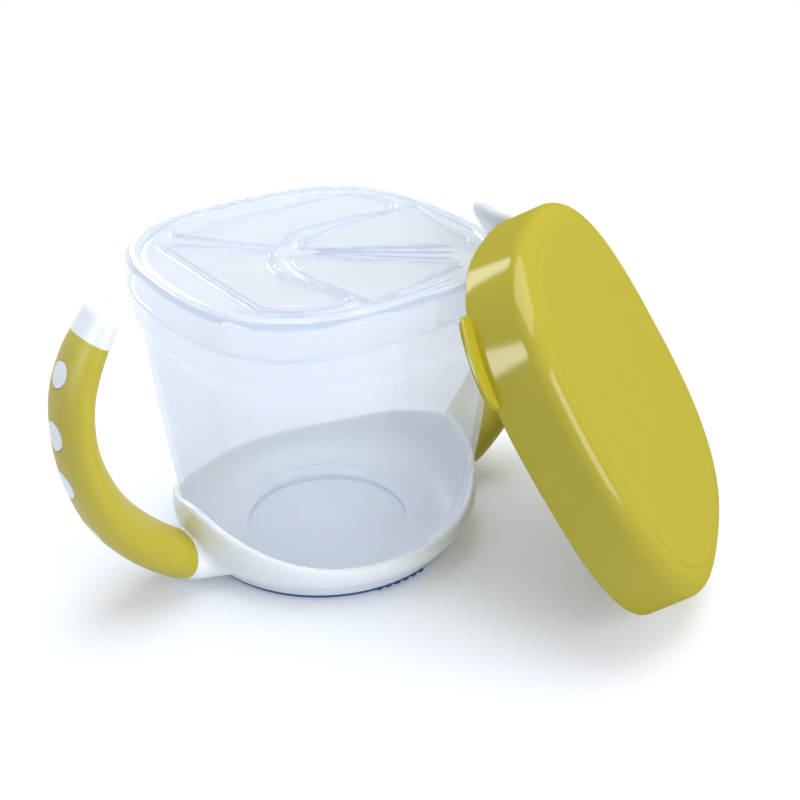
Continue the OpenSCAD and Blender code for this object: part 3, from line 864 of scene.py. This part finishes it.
# What is seen through the clear plastic is the paper's own light grey.
through = add(tree, "ShaderNodeMapRange", {"Value": ray.outputs["Transparent Depth"],
                                           "From Max": 1.0, "To Min": 1.0, "To Max": 0.0})
sight = add(tree, "ShaderNodeMath", {0: sight, 1: through.outputs["Result"]},
            operation="MULTIPLY").outputs[0]
glow = add(tree, "ShaderNodeMath", {0: sight, 1: paper_glow}, operation="MULTIPLY")
paper = add(tree, "ShaderNodeBsdfPrincipled",
            {"Base Color": linear("#e6e9ef"), "Roughness": 0.9, "Specular IOR Level": 0.0,
             "Emission Color": (1, 1, 1, 1), "Emission Strength": glow.outputs[0]})
place = add(tree, "ShaderNodeTexCoord")
away = add(tree, "ShaderNodeVectorMath", {0: place.outputs["Object"]}, operation="LENGTH")
edge = add(tree, "ShaderNodeMapRange", {"Value": away.outputs["Value"], "From Min": fade_from,
                                        "From Max": fade_to}, interpolation_type="SMOOTHSTEP")
fade = add(tree, "ShaderNodeMath", {0: sight, 1: edge.outputs["Result"]}, operation="MULTIPLY")
beyond = add(tree, "ShaderNodeEmission", {"Color": (1, 1, 1, 1), "Strength": 1.0})
surface = add(tree, "ShaderNodeMixShader", {0: fade.outputs[0], 1: paper.outputs["BSDF"],
                                            2: beyond.outputs["Emission"]})
add(tree, "ShaderNodeOutputMaterial", {"Surface": surface.outputs[0]})
floor = make("floor", [(x * floor_half, y * floor_half, 0)
                       for x, y in ((-1, -1), (1, -1), (1, 1), (-1, 1))], [(0, 1, 2, 3)], sweep)

world = bpy.data.worlds.new("studio")
bpy.context.scene.world = world
world.use_nodes = True
tree = world.node_tree
tree.nodes.clear()
ray, sight = seen(tree)
fill = add(tree, "ShaderNodeBackground", {"Color": linear("#e3e9f5"), "Strength": 0.62})
white_back = add(tree, "ShaderNodeBackground", {"Color": (1, 1, 1, 1), "Strength": 1.0})
surface = add(tree, "ShaderNodeMixShader", {0: sight, 1: fill.outputs[0],
                                            2: white_back.outputs[0]})
add(tree, "ShaderNodeOutputWorld", {"Surface": surface.outputs[0]})


def soft_box(name, place, aim, size, power, lights=True):
    """A rectangular studio lamp at a place, aimed at a point, in metres. One that doesn't
    light is a window that only shows in reflections."""
    lamp = bpy.data.lights.new(name, "AREA")
    lamp.shape, lamp.size, lamp.size_y, lamp.energy = "RECTANGLE", size[0], size[1], power
    holder = bpy.data.objects.new(name, lamp)
    holder.location = place
    holder.rotation_euler = (Vector(aim) - Vector(place)).to_track_quat("-Z", "Y").to_euler()
    holder.visible_diffuse = lights
    bpy.context.scene.collection.objects.link(holder)


soft_box("top_box", (0.2, 0.05, 0.88), (0, 0, 0), (0.9, 0.9), 7.9)
soft_box("front_box", (0.25, -0.9, 0.45), (0.02, 0, 0.04), (0.5, 0.6), 4.1)
soft_box("left_window", (-0.6, 0.02, 0.34), (0.0, -0.07, 0.09), (0.27, 0.27), 2.0, lights=False)
soft_box("back_window", (0.06, 0.55, 0.3), (0.0, -0.07, 0.09), (0.2, 0.26), 1.46, lights=False)

view_from = Vector((-157.9, -258.9, 204.2)) * MM
ahead = Vector((0.5116, 0.7156, -0.4756)).normalized()
level = ahead.cross(Vector((0, 0, 1))).normalized()
above = level.cross(ahead)
roll = math.radians(-0.86)
right = level * math.cos(roll) + above * math.sin(roll)
above = above * math.cos(roll) - level * math.sin(roll)
camera = bpy.data.objects.new("camera", bpy.data.cameras.new("camera"))
camera.data.sensor_width, camera.data.lens = 36, 54.75
camera.data.clip_start, camera.data.clip_end = 0.01, 20
camera.matrix_world = Matrix.Translation(view_from) @ Matrix(
    (right, above, -ahead)).transposed().to_4x4()
bpy.context.scene.collection.objects.link(camera)
bpy.context.scene.camera = camera
bpy.context.scene.view_settings.view_transform = "Standard"
